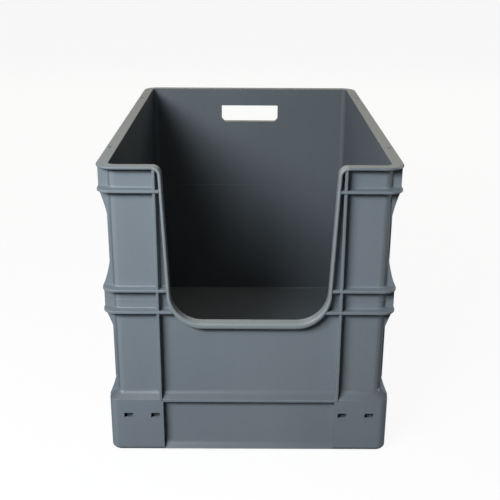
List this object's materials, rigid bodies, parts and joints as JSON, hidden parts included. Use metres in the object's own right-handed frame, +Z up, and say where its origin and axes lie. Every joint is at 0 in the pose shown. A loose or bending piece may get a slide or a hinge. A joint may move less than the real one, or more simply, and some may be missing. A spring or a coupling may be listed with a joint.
{
  "type": "open-fronted stacking container",
  "caption": "Grey stacking storage container with a U-shaped pick opening in its front wall, a hand hole in its back wall and ribbed sides.",
  "frame": {"origin": "centre of the footprint on the ground, under the stacking foot", "axes": "+Z up, +Y along the long side from the pick opening to the hand hole, +X across to the right as seen from the front"},
  "size_m": [0.4, 0.6, 0.424],
  "materials": {
    "moulding_grey": "polypropylene, satin with a fine moulded grain, bluish grey",
    "strip_grey": "extruded polypropylene, satin, a little smoother than the mouldings"
  },
  "bodies": {
    "root": {"lower_tub": "moulding_grey", "upper_frame": "moulding_grey", "opening_edge": "strip_grey"}
  },
  "joints": []
}
